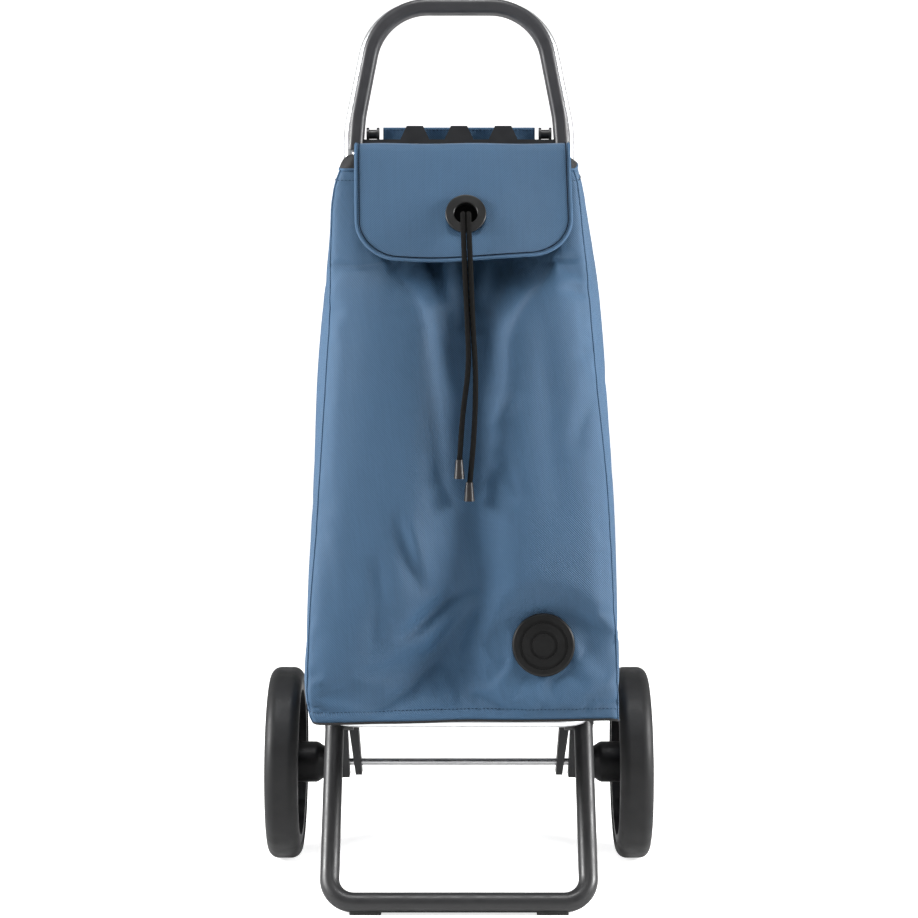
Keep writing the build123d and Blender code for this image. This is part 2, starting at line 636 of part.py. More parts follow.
# ---------------------------------------------------------------- flap, eyelet and cords
SLOPE = Vector(0, FLAP_LOW_Y - FLAP_BEND_Y, FLAP_LOW_Z - FLAP_Z).normalized()
FLAP_NORMAL = Vector(0, SLOPE.Z, -SLOPE.Y)
EYELET_DROP = (FLAP_Z - EYELET_Z) / -SLOPE.Z
EYELET_CENTRE = Vector(EYELET_X, FLAP_BEND_Y, FLAP_Z) + SLOPE * EYELET_DROP
EYELET_PLANE = Plane(EYELET_CENTRE, x_dir=(1, 0, 0), z_dir=FLAP_NORMAL)
EYELET_R = 22
EYELET_HOLE_R = 12.5
EYELET_NECK = 1.5
EYELET_ROUND = 1.3
EYELET_BACK_T = 2
FLANGE_T = 3
FABRIC_GAP = 0.3
FLAP_BEND_R = 12
FLAP_CUT_TOP_Z = 860

with BuildPart() as flap:
    with BuildSketch(Plane.YZ.offset(FLAP_X - FLAP_HALF_W)) as flap_profile:
        with BuildLine() as flap_line:
            Polyline((FLAP_BACK_Y, FLAP_Z), (FLAP_BEND_Y, FLAP_Z), (FLAP_LOW_Y, FLAP_LOW_Z))
            fillet(flap_line.vertices().sort_by_distance((0, FLAP_BEND_Y, FLAP_Z))[0], FLAP_BEND_R)
            offset(amount=FLAP_T, side=Side.RIGHT, kind=Kind.INTERSECTION)
        make_face()
    extrude(amount=2 * FLAP_HALF_W)
    with BuildSketch(Plane.XZ.offset(-FLAP_BACK_Y)) as flap_front:
        with Locations((FLAP_X, (FLAP_LOW_Z + FLAP_CUT_TOP_Z) / 2)):
            Rectangle(2 * FLAP_HALF_W, FLAP_CUT_TOP_Z - FLAP_LOW_Z)
        fillet(flap_front.vertices().group_by(Axis.Y)[0], FLAP_CORNER_R)
    extrude(amount=-BAG_FRONT_LOW_Y, mode=Mode.INTERSECT)
    with BuildSketch(EYELET_PLANE.offset(-FLAP_T)):
        Circle(EYELET_HOLE_R + 2)
    extrude(amount=4 * FLAP_T, mode=Mode.SUBTRACT)
save(flap.part, "flap")

with BuildPart() as eyelet_front:
    with BuildSketch(EYELET_PLANE.offset(FLAP_T + FABRIC_GAP)):
        Circle(EYELET_R)
        Circle(EYELET_HOLE_R, mode=Mode.SUBTRACT)
    extrude(amount=FLANGE_T)
    fillet(eyelet_front.faces().sort_by(Axis.Y)[0].edges(), EYELET_ROUND)
    with BuildSketch(EYELET_PLANE.offset(-FABRIC_GAP)):
        Circle(EYELET_HOLE_R + EYELET_NECK)
        Circle(EYELET_HOLE_R, mode=Mode.SUBTRACT)
    extrude(amount=FLAP_T + 3 * FABRIC_GAP)
save(eyelet_front.part, "eyelet_front")

with BuildPart() as eyelet_back:
    with BuildSketch(EYELET_PLANE.offset(-FABRIC_GAP)):
        Circle(EYELET_R)
        Circle(EYELET_HOLE_R + EYELET_NECK, mode=Mode.SUBTRACT)
    extrude(amount=-EYELET_BACK_T)
save(eyelet_back.part, "eyelet_back")

CORD_START = EYELET_CENTRE - FLAP_NORMAL * 8 + Vector(0, 0, -2)
CORD_EXIT = EYELET_CENTRE + FLAP_NORMAL * 9 + Vector(0, 0, -2)
CORD_CREST = EYELET_CENTRE + SLOPE * 17 + FLAP_NORMAL * 13.5
CORD_FREE_Z = 690
TIP_LENGTH = 20
TIP_GRIP = 6
TIP_TOP_R = 3.9
TIP_LOW_R = 5.8


def cord(name, start_x, sway, end_z):
    """One cord through the eyelet, over its rim and down the bag's front, with its flared tip.

    sway holds (x, y) places for the hanging length, evenly spaced down to end_z.
    """
    fall = (end_z - CORD_FREE_Z) / (len(sway) - 1)
    with BuildPart() as string:
        with BuildLine() as string_line:
            Spline(
                *((start_x, spot.Y, spot.Z) for spot in (CORD_START, CORD_EXIT, CORD_CREST)),
                *((x, y, CORD_FREE_Z + i * fall) for i, (x, y) in enumerate(sway)),
            )
        with BuildSketch(Plane(string_line.wire() @ 0, z_dir=string_line.wire() % 0)):
            Circle(CORD_R)
        sweep(path=string_line.wire())
    save(string.part, f"cord_{name}")
    tip_top_z = end_z + TIP_GRIP
    with BuildPart() as tip:
        for radius, z in ((TIP_TOP_R, tip_top_z), (TIP_LOW_R, tip_top_z - TIP_LENGTH)):
            with BuildSketch(Plane.XY.offset(z)):
                with Locations(sway[-1]):
                    Circle(radius)
        loft()
        add(string.part, mode=Mode.SUBTRACT)
    save(tip.part, f"cord_tip_{name}")


cord("left", EYELET_X - 3.5, ((6, -260), (8.6, -262), (10, -263), (4, -262.5), (0.3, -262)), 479)
cord("right", EYELET_X + 3.5, ((13, -260), (15.4, -262), (18.4, -263), (16, -262.5), (11, -262)), 455)
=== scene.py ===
import math

import bmesh
import bpy
import numpy as np
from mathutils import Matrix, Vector


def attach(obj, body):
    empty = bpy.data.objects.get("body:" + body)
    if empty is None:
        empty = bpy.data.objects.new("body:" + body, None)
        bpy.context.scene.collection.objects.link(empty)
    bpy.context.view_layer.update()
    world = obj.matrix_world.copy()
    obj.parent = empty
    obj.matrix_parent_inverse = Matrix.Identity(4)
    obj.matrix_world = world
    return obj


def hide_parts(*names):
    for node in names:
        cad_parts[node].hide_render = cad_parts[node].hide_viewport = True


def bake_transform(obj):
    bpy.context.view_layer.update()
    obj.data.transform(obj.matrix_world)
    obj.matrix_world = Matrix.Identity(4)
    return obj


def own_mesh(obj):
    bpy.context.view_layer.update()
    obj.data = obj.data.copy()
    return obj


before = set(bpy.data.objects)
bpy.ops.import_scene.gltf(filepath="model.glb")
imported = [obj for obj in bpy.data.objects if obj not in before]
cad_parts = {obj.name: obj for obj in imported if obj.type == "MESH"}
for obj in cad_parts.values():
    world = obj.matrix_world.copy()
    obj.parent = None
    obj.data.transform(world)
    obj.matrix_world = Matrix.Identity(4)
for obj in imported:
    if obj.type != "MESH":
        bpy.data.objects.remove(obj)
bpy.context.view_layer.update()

# Looks of a folding shopping trolley. Metres, in the frame of the CAD: -Y is the front, +Z is up.

# ------------------------------------------------------------------ curves and paths


def smooth(points, t):
    """Smooth curve through (position, value) points, read at t."""
    xs = np.array([p[0] for p in points], float)
    ys = np.array([p[1] for p in points], float)
    t = np.clip(t, xs[0], xs[-1])
    slopes = np.gradient(ys, xs)
    i = np.clip(np.searchsorted(xs, t) - 1, 0, len(xs) - 2)
    step = xs[i + 1] - xs[i]
    s = (t - xs[i]) / step
    return (
        ys[i] * (1 + 2 * s) * (1 - s) ** 2
        + slopes[i] * step * s * (1 - s) ** 2
        + ys[i + 1] * s * s * (3 - 2 * s)
        + slopes[i + 1] * step * s * s * (s - 1)
    )


def bell(distance, width):
    """1 at distance 0, fading smoothly to 0 over about twice the width."""
    return np.exp(-((distance / width) ** 2))


def run_along(points):
    """Distance travelled along a path at each of its points."""
    return np.concatenate([[0], np.cumsum(np.linalg.norm(np.diff(points, axis=0), axis=1))])


def along_path(points, run, at):
    """The path's point, or points, at the distances at."""
    return np.stack([np.interp(at, run, points[:, k]) for k in range(3)], -1)


def resample(points, step):
    """The same path with points about one step apart."""
    points = np.array(points, float)
    run = run_along(points)
    count = max(2, int(round(run[-1] / step)) + 1)
    return along_path(points, run, np.linspace(0, run[-1], count))


def rounded(points, step):
    """A smooth path through a few points."""
    points = np.array(points, float)
    run = run_along(points)
    at = np.linspace(0, run[-1], int(run[-1] / step))
    return np.stack([smooth(list(zip(run, points[:, k])), at) for k in range(3)], 1)


def closed(points):
    """A ring of points with its first point repeated at the end."""
    return np.concatenate([points, points[:1]])


def side_vectors(points):
    """Two unit vectors square to a path at each point, turned as little as possible along it."""
    tangents = np.gradient(points, axis=0)
    tangents /= np.linalg.norm(tangents, axis=1)[:, None]
    side = np.cross(tangents[0], (0.3, 0.2, 0.93))
    side /= np.linalg.norm(side)
    sides = []
    for tangent in tangents:
        side = side - tangent * (side @ tangent)
        side /= np.linalg.norm(side)
        sides.append(side)
    sides = np.array(sides)
    return sides, np.cross(tangents, sides)


# ------------------------------------------------------------------ meshes


def add_mesh(name, verts, faces, uvs, look):
    """A smooth-shaded mesh object; uvs holds one (u, v) in metres per face corner."""
    mesh = bpy.data.meshes.new(name)
    mesh.from_pydata([tuple(v) for v in verts], [], faces)
    layer = mesh.uv_layers.new(name="UVMap")
    layer.data.foreach_set("uv", np.array(uvs, np.float32).ravel())
    mesh.polygons.foreach_set("use_smooth", [True] * len(mesh.polygons))
    mesh.materials.append(look)
    piece = bpy.data.objects.new(name, mesh)
    bpy.context.scene.collection.objects.link(piece)
    return piece


def woven_grid(grid, ring):
    """Faces of a grid[row][column] of points and their places on flat cloth; ring joins its sides."""
    rows, cols = grid.shape[:2]
    wide = np.concatenate([grid, grid[:, :1]], 1) if ring else grid
    across = np.zeros((rows, wide.shape[1]))
    across[:, 1:] = np.cumsum(np.linalg.norm(np.diff(wide, axis=1), axis=2), 1)
    across -= across[:, -1:] / 2
    along = np.zeros((rows, cols))
    along[1:] = np.cumsum(np.linalg.norm(np.diff(grid, axis=0), axis=2), 0)
    along = along.mean(1)
    faces, uvs = [], []
    for r in range(rows - 1):
        for c in range(cols if ring else cols - 1):
            n = (c + 1) % cols
            faces.append((r * cols + c, r * cols + n, (r + 1) * cols + n, (r + 1) * cols + c))
            uvs += [
                (across[r, c], along[r]), (across[r, c + 1], along[r]),
                (across[r + 1, c + 1], along[r + 1]), (across[r + 1, c], along[r + 1]),
            ]
    return faces, uvs


def sheet(name, grid, look, ring=False):
    """A cloth sheet from grid[row][column] points; ring joins the last column to the first."""
    grid = np.array(grid, float)
    faces, uvs = woven_grid(grid, ring)
    return add_mesh(name, grid.reshape(-1, 3), faces, uvs, look)


def tube(name, points, radius, look, around=12, relief=None):
    """A round cord along a path. relief(angle, distance) gives an extra height on its surface."""
    points = np.array(points, float)
    sides, ups = side_vectors(points)
    angles = np.arange(around) * 2 * math.pi / around
    reach = np.full((len(points), around), radius)
    if relief:
        reach = reach + relief(angles[None, :], run_along(points)[:, None])
    spokes = np.cos(angles)[None, :, None] * sides[:, None] + np.sin(angles)[None, :, None] * ups[:, None]
    rings = points[:, None] + reach[..., None] * spokes
    faces, uvs = woven_grid(rings, ring=True)
    start = len(points) * around
    last = start - around
    for c in range(around):
        n = (c + 1) % around
        faces += [(n, c, start), (last + c, last + n, start + 1)]
        uvs += [(0, 0), (0, radius), (radius, 0)] * 2
    return add_mesh(name, [*rings.reshape(-1, 3), points[0], points[-1]], faces, uvs, look)


STITCH_RINGS = 5
STITCH_SIDES = 6
STITCH_END = 0.45
STITCH_SINK = 0.25


def stitches(name, points, outward, length, gap, radius, lift, look):
    """A row of short thread stitches along a path, humped to lift above it along its outward vectors."""
    run = run_along(points)
    verts, faces, uvs = [], [], []
    s = gap
    while s + length < run[-1]:
        first = len(verts)
        a, b = along_path(points, run, np.array([s, s + length]))
        out_a, out_b = along_path(outward, run, np.array([s, s + length]))
        along = (b - a) / np.linalg.norm(b - a)
        for f in np.linspace(0, 1, STITCH_RINGS):
            hump = math.sin(math.pi * f)
            out = out_a / np.linalg.norm(out_a) * (1 - f) + out_b / np.linalg.norm(out_b) * f
            centre = a + (b - a) * f + out * (lift * (hump - STITCH_SINK))
            side = np.cross(along, out)
            r = radius * (STITCH_END + (1 - STITCH_END) * hump)
            for angle in np.arange(STITCH_SIDES) * 2 * math.pi / STITCH_SIDES:
                verts.append(centre + r * (math.cos(angle) * side + math.sin(angle) * out))
        for i in range(STITCH_RINGS - 1):
            low = first + i * STITCH_SIDES
            for k in range(STITCH_SIDES):
                n = (k + 1) % STITCH_SIDES
                faces.append((low + k, low + n, low + STITCH_SIDES + n, low + STITCH_SIDES + k))
                uvs += [(0, 0), (radius, 0), (radius, length), (0, length)]
        ends = range(first, first + STITCH_SIDES), range(len(verts) - STITCH_SIDES, len(verts))
        faces += [tuple(reversed(ends[0])), tuple(ends[1])]
        uvs += [(0, 0)] * STITCH_SIDES * 2
        s += length + gap
    return add_mesh(name, verts, faces, uvs, look)


def thicken(piece, thickness, offset=0.0):
    """Gives a sheet its thickness; offset 1 adds it all along its normals, -1 all against them."""
    solid = piece.modifiers.new("thickness", "SOLIDIFY")
    solid.thickness = thickness
    solid.offset = offset
    return piece


def fit(piece, body=None, node=None, empty=None):
    """Puts a finished piece on its body in place of a CAD node, which it hides; given empty, the piece gets
    its own copy of its mesh.
    """
    if node:
        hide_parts(node)
    if body:
        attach(piece, body)
    if empty:
        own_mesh(piece)


# ------------------------------------------------------------------ materials


class Look:
    """A material being built: its nodes, with short ways to add and join them."""

    def __init__(self, name, roughness, metallic=0.0, gloss=0.5):
        self.material = bpy.data.materials.new(name)
        self.material.use_nodes = True
        self.nodes = self.material.node_tree.nodes
        self.links = self.material.node_tree.links
        self.shader = self.nodes["Principled BSDF"]
        self.shader.inputs["Roughness"].default_value = roughness
        self.shader.inputs["Metallic"].default_value = metallic
        self.shader.inputs["Specular IOR Level"].default_value = gloss
        self.place = self.nodes.new("ShaderNodeTexCoord")

    def node(self, kind, **values):
        made = self.nodes.new(kind)
        for key, value in values.items():
            if key in made.inputs:
                made.inputs[key].default_value = value
            else:
                setattr(made, key, value)
        return made

    def join(self, source, target):
        self.links.new(source, target)

    def stretched(self, space, scale):
        """Texture coordinates in the named space, scaled along each axis."""
        mapping = self.node("ShaderNodeMapping", Scale=scale)
        self.join(self.place.outputs[space], mapping.inputs["Vector"])
        return mapping.outputs["Vector"]

    def noise(self, vector, scale, detail=3.0):
        made = self.node("ShaderNodeTexNoise", Scale=scale, Detail=detail)
        self.join(vector, made.inputs["Vector"])
        return made.outputs["Fac"]

    def wave(self, direction, pitch):
        """Straight ribs a pitch apart over the cloth's own flat shape."""
        # the wave texture turns 20 radians per unit at scale 1
        made = self.node("ShaderNodeTexWave", bands_direction=direction, Scale=2 * math.pi / (20 * pitch))
        self.join(self.stretched("UV", (1, 1, 0)), made.inputs["Vector"])
        return made.outputs["Fac"]

    def weighed(self, parts):
        """The sum of (output, weight) parts."""
        total = None
        for output, weight in parts:
            made = self.node("ShaderNodeMath", operation="MULTIPLY_ADD")
            self.join(output, made.inputs[0])
            made.inputs[1].default_value = weight
            made.inputs[2].default_value = 0
            if total:
                self.join(total, made.inputs[2])
            total = made.outputs[0]
        return total

    def roughen(self, fac, low, high):
        """Lets the roughness run from low to high with a noise."""
        made = self.node("ShaderNodeMapRange")
        made.inputs["From Min"].default_value = 0.3
        made.inputs["From Max"].default_value = 0.7
        made.inputs["To Min"].default_value = low
        made.inputs["To Max"].default_value = high
        self.join(fac, made.inputs["Value"])
        self.join(made.outputs["Result"], self.shader.inputs["Roughness"])

    def tint(self, fac, dark, light):
        """Blends two colours by a 0 to 1 value into the base colour."""
        mix = self.node("ShaderNodeMix", data_type="RGBA")
        fac_in, dark_in, light_in = mix.inputs[0], mix.inputs[6], mix.inputs[7]
        dark_in.default_value = (*dark, 1)
        light_in.default_value = (*light, 1)
        self.join(fac, fac_in)
        self.join(mix.outputs[2], self.shader.inputs["Base Color"])

    def bump(self, height, distance, strength=1.0):
        made = self.node("ShaderNodeBump", Distance=distance, Strength=strength)
        self.join(height, made.inputs["Height"])
        self.join(made.outputs["Normal"], self.shader.inputs["Normal"])


def shade(colour, factor):
    return tuple(channel * factor for channel in colour)


def moulded(name, colour, roughness, grain=1400.0, depth=0.00006, gloss=0.5):
    """Moulded plastic or rubber: fine grain, faint mottling and uneven sheen."""
    look = Look(name, roughness, gloss=gloss)
    spot = look.stretched("Object", (1, 1, 1))
    look.tint(look.noise(spot, 35, 4), shade(colour, 0.8), shade(colour, 1.25))
    look.roughen(look.noise(spot, 60, 5), roughness - 0.07, roughness + 0.09)
    look.bump(look.noise(spot, grain, 2), depth)
    return look.material


def brushed(name, colour, roughness, stretch):
    """Drawn or anodised metal: fine lines along the tube and faint clouding."""
    look = Look(name, roughness, metallic=1.0)
    lines = look.noise(look.stretched("Object", stretch), 900, 3)
    spot = look.stretched("Object", (1, 1, 1))
    look.tint(look.noise(spot, 25, 4), shade(colour, 0.88), shade(colour, 1.05))
    look.roughen(lines, roughness - 0.06, roughness + 0.1)
    look.bump(lines, 0.00002)
    return look.material


def woven(name, colour, pitch, sheen=0.08, roughness=0.55, contrast=0.62, gloss=0.35):
    """Twill-woven cloth: diagonal ribs crossed by threads, in metres of cloth, with faint fading."""
    look = Look(name, roughness, gloss=gloss)
    look.shader.inputs["Sheen Weight"].default_value = sheen
    look.shader.inputs["Sheen Roughness"].default_value = 0.4
    weave = look.weighed([(look.wave("X", pitch * 0.72), 0.35), (look.wave("DIAGONAL", pitch), 0.65)])
    cloud = look.noise(look.stretched("Object", (1, 1, 0.45)), 9, 4)
    slub = look.noise(look.stretched("UV", (1, 0.04, 1)), 420, 2)
    tone = look.weighed([(slub, 0.15), (cloud, 0.25), (weave, 0.6)])
    look.tint(tone, shade(colour, 1 - contrast), shade(colour, 1 + contrast))
    look.roughen(cloud, roughness - 0.05, roughness + 0.06)
    look.bump(weave, 0.0004, 0.8)
    return look.material


BLUE = (0.038, 0.095, 0.176)
ALUMINIUM = (0.82, 0.83, 0.84)

cloth = woven("blue_twill", BLUE, 0.0013)
piping_cloth = woven("blue_piping", shade(BLUE, 1.2), 0.0007)
lining = woven("black_lining", (0.007, 0.007, 0.008), 0.0009, sheen=0.02)
floor_cloth = woven("black_base_cloth", (0.025, 0.026, 0.03), 0.0016, sheen=0.1)
thread = woven("dark_thread", (0.003, 0.009, 0.020), 0.0005, sheen=0.0, gloss=0.1)
cord_cloth = woven("black_cord", (0.004, 0.0038, 0.0035), 0.0008, sheen=0.0, roughness=0.8, gloss=0.12)

grip_plastic = moulded("grip_moulding", (0.030, 0.030, 0.033), 0.40)
joint_plastic = moulded("joint_moulding", (0.012, 0.012, 0.013), 0.46, grain=900)
foot_paint = moulded("foot_paint", (0.017, 0.017, 0.018), 0.4, grain=700, depth=0.00004)
tyre_rubber = moulded("tyre_rubber", (0.014, 0.014, 0.0145), 0.5, grain=500, depth=0.00008, gloss=0.3)
wheel_plastic = moulded("wheel_moulding", (0.004, 0.004, 0.0045), 0.4, gloss=0.2)
pad_rubber = moulded("pad_rubber", (0.02, 0.02, 0.02), 0.7)
badge_plastic = moulded("badge_moulding", (0.007, 0.007, 0.007), 0.42, gloss=0.25)
eyelet_plastic = moulded("eyelet_moulding", (0.010, 0.010, 0.010), 0.34, gloss=0.4)
tip_plastic = moulded("tip_moulding", (0.020, 0.018, 0.018), 0.28, gloss=0.4)
nylon = moulded("bush_nylon", (0.5, 0.5, 0.47), 0.4)
board_plastic = moulded("board_plastic", (0.04, 0.04, 0.045), 0.5)
tube_metal = brushed("anodised_aluminium", ALUMINIUM, 0.3, stretch=(1, 1, 0.02))
rail_metal = brushed("platform_aluminium", ALUMINIUM, 0.3, stretch=(0.04, 0.04, 1))
steel = brushed("bright_steel", (0.62, 0.62, 0.63), 0.24, stretch=(0.03, 1, 1))

NODE_LOOKS = {
    "frame_tube": tube_metal, "platform_tube": rail_metal, "platform_brace": rail_metal,
    "handle_grip": grip_plastic, "crossbar": joint_plastic,
    "lower_joint": joint_plastic, "axle_spacer": joint_plastic, "platform_fork": joint_plastic,
    "foot_bracket": joint_plastic, "foot_plug": joint_plastic, "foot_tube": foot_paint,
    "foot_pads": pad_rubber, "joint_screws": steel, "platform_pins": steel, "foot_pins": steel,
    "bracket_rivets": steel, "axle": steel, "axle_clip": steel, "base_board": board_plastic,
    "emblem": badge_plastic, "eyelet_front": eyelet_plastic, "eyelet_back": eyelet_plastic,
    "cord_tip": tip_plastic, "tyre": tyre_rubber, "rim": wheel_plastic, "hub_cap": wheel_plastic,
    "bush": nylon, "bag": cloth, "bag_collar": lining, "flap": cloth, "hang_strip": cloth,
    "cord": cord_cloth,
}

for node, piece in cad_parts.items():
    base = node.removesuffix("_left").removesuffix("_right")
    piece.data.materials.clear()
    piece.data.materials.append(NODE_LOOKS[base])

# ------------------------------------------------------------------ bag: its shape

# Half widths to the left and right at the front, and at the back, as (height, half width) curves
BAG_LEFT = (
    (0.2075, 0.1565), (0.212, 0.1595), (0.225, 0.1620), (0.30, 0.162), (0.43, 0.154), (0.56, 0.1470),
    (0.655, 0.1418), (0.73, 0.1405), (0.765, 0.139), (0.785, 0.135), (0.797, 0.1305),
)
BAG_RIGHT = (
    (0.2075, 0.1715), (0.30, 0.1695), (0.43, 0.1645), (0.56, 0.1545), (0.655, 0.1475), (0.73, 0.1395),
    (0.765, 0.136), (0.785, 0.133), (0.797, 0.1290),
)
BAG_BACK_HALF = ((0.205, 0.160), (0.43, 0.158), (0.655, 0.152), (0.80, 0.134))
BAG_BACK_Y = -0.0215
BAG_FRONT_LOW = (0.213, -0.272)
BAG_FRONT_TOP = (0.803, -0.205)
HEM_FRONT_Z = 0.2075
HEM_BACK_Z = 0.2135
HEM_TILT = 0.016
HEM_TILT_SHARE = 0.2
BAG_TOP_Z = 0.797
BAG_BACK_RISE = 0.018
BAG_CENTRE = (0, -0.14, 0)
FRONT_SEGMENTS = 96
SIDE_SEGMENTS = 44
BACK_SEGMENTS = 56
BAG_ROWS = 150
CORNER_ROUNDING = 5
EMBLEM_SPOT = (0.090, 0.288)
EMBLEM_FLAT_R = 0.036
EMBLEM_BLEND_R = 0.075
# How far the stuffed front stands out past its flat leaning plane, and how squarely it fills out
FULLNESS = (
    (0.2075, 0.001), (0.26, 0.009), (0.35, 0.018), (0.45, 0.021), (0.6, 0.021), (0.69, 0.022),
    (0.74, 0.017), (0.797, 0.003),
)
FRONT_SQUARENESS = 0.6
SIDE_FOLD = 0.0035
SIDE_FOLD_WIDTH = 0.10
RIGHT_BULGE = 0.006
LEFT_BULGE = 0.005
# How far the right front seam turns in behind the front, over the bag's height
SEAM_INSET = ((0.0, 0.0), (0.4, 0.001), (0.75, 0.004), (1.0, 0.003))
BACK_SAG = 0.0012
HOLLOWS = (
    # each: middle, width and depth, as (height, value) curves
    # two pockets under the flap, either side of the cords
    (((0.58, -0.012), (0.637, -0.019), (0.70, -0.040), (0.80, -0.050)),
     ((0.58, 0.008), (0.65, 0.012), (0.70, 0.022), (0.80, 0.030)),
     ((0.56, 0.0), (0.60, 0.004), (0.637, 0.011), (0.67, 0.026), (0.70, 0.044), (0.74, 0.034),
      (0.797, 0.003))),
    (((0.58, 0.030), (0.62, 0.034), (0.70, 0.061), (0.80, 0.066)),
     ((0.58, 0.008), (0.62, 0.012), (0.70, 0.026), (0.80, 0.030)),
     ((0.56, 0.0), (0.60, 0.004), (0.62, 0.009), (0.66, 0.026), (0.70, 0.046), (0.74, 0.034),
      (0.797, 0.003))),
    # the front sags away behind the whole width of the flap's lower edge
    (((0.60, 0.010), (0.80, 0.010)),
     ((0.60, 0.050), (0.70, 0.075), (0.80, 0.080)),
     ((0.62, 0.0), (0.67, 0.009), (0.71, 0.020), (0.76, 0.012), (0.80, 0.002))),
    # the hollow the cords hang in
    (((0.45, 0.008), (0.75, 0.010)),
     ((0.45, 0.034), (0.64, 0.026), (0.69, 0.022), (0.75, 0.022)),
     ((0.38, 0.006), (0.48, 0.018), (0.60, 0.022), (0.66, 0.026), (0.69, 0.036), (0.75, 0.030),
      (0.797, 0.005))),
    # the slack lower middle, above the hem
    (((0.21, -0.030), (0.26, -0.018), (0.32, 0.0), (0.40, 0.012)),
     ((0.21, 0.075), (0.26, 0.060), (0.32, 0.046), (0.40, 0.036)),
     ((0.2075, 0.002), (0.218, 0.009), (0.245, 0.026), (0.28, 0.032), (0.34, 0.028), (0.44, 0.010))),
)
CREASES = (
    # start (x, z), end (x, z), width, depth
    ((-0.066, 0.424), (-0.042, 0.350), 0.0060, -0.0085),
    ((-0.054, 0.424), (-0.034, 0.355), 0.0070, 0.0051),
    ((-0.088, 0.380), (-0.084, 0.340), 0.0070, -0.0068),
    ((-0.084, 0.340), (-0.093, 0.280), 0.0080, -0.0076),
    ((-0.055, 0.300), (-0.006, 0.343), 0.0070, -0.0102),
    ((-0.040, 0.286), (0.012, 0.342), 0.0090, 0.0076),
    ((0.128, 0.496), (0.148, 0.575), 0.0100, -0.0102),
    ((0.122, 0.700), (0.146, 0.600), 0.0080, -0.0068),
    ((-0.145, 0.410), (-0.137, 0.325), 0.0070, -0.0059),
    ((0.044, 0.490), (0.061, 0.445), 0.0070, -0.0059),
    ((0.036, 0.520), (0.060, 0.552), 0.0060, 0.0048),
    ((0.020, 0.232), (0.060, 0.216), 0.0070, -0.0051),
    ((0.014, 0.345), (-0.051, 0.240), 0.0130, -0.0068),
    ((-0.051, 0.240), (-0.098, 0.212), 0.0100, -0.0068),
    ((-0.120, 0.690), (-0.128, 0.480), 0.0120, -0.0037),
    ((0.090, 0.640), (0.106, 0.430), 0.0130, -0.0037),
    ((-0.020, 0.640), (-0.008, 0.560), 0.0080, -0.0085),
    ((0.034, 0.625), (0.036, 0.555), 0.0080, -0.0085),
)


def hollow(x, z, middle, width, depth):
    """A soft upright hollow whose middle, width and depth are curves over the height."""
    return smooth(depth, z) * bell(x - smooth(middle, z), smooth(width, z))


def crease(x, z, start, end, width):
    """How strongly each point (x, z) lies on the crease from start to end, from 0 to 1."""
    a = np.array(start, float)
    d = np.array(end, float) - a
    t = ((x - a[0]) * d[0] + (z - a[1]) * d[1]) / (d @ d)
    near = np.clip(t, 0, 1)
    off = np.hypot(x - a[0] - near * d[0], z - a[1] - near * d[1])
    # fades out a little past either end
    taper = np.clip(4 * (t + 0.15) * (1.15 - t) / 1.69, 0, 1)
    return bell(off, width) * taper


def front_depth(x, z):
    """How far the bag's front stands out past its flat leaning plane, flat again behind the badge."""
    out = smooth(FULLNESS, z)
    for middle, width, depth in HOLLOWS:
        out = out - hollow(x, z, middle, width, depth)
    for start, end, width, depth in CREASES:
        out = out + depth * crease(x, z, start, end, width)
    apart = np.hypot(x - EMBLEM_SPOT[0], z - EMBLEM_SPOT[1])
    flat = np.clip((EMBLEM_BLEND_R - apart) / (EMBLEM_BLEND_R - EMBLEM_FLAT_R), 0, 1)
    return out * (1 - flat * flat * (3 - 2 * flat))


def side_wall(start, end, outward, bulge, fold):
    """Points from one front or back corner towards the other along a side wall."""
    t = np.arange(SIDE_SEGMENTS) / SIDE_SEGMENTS
    points = np.outer(1 - t, start) + np.outer(t, end)
    points[:, 0] += outward * (bulge * np.sin(math.pi * t) - fold(t))
    return points


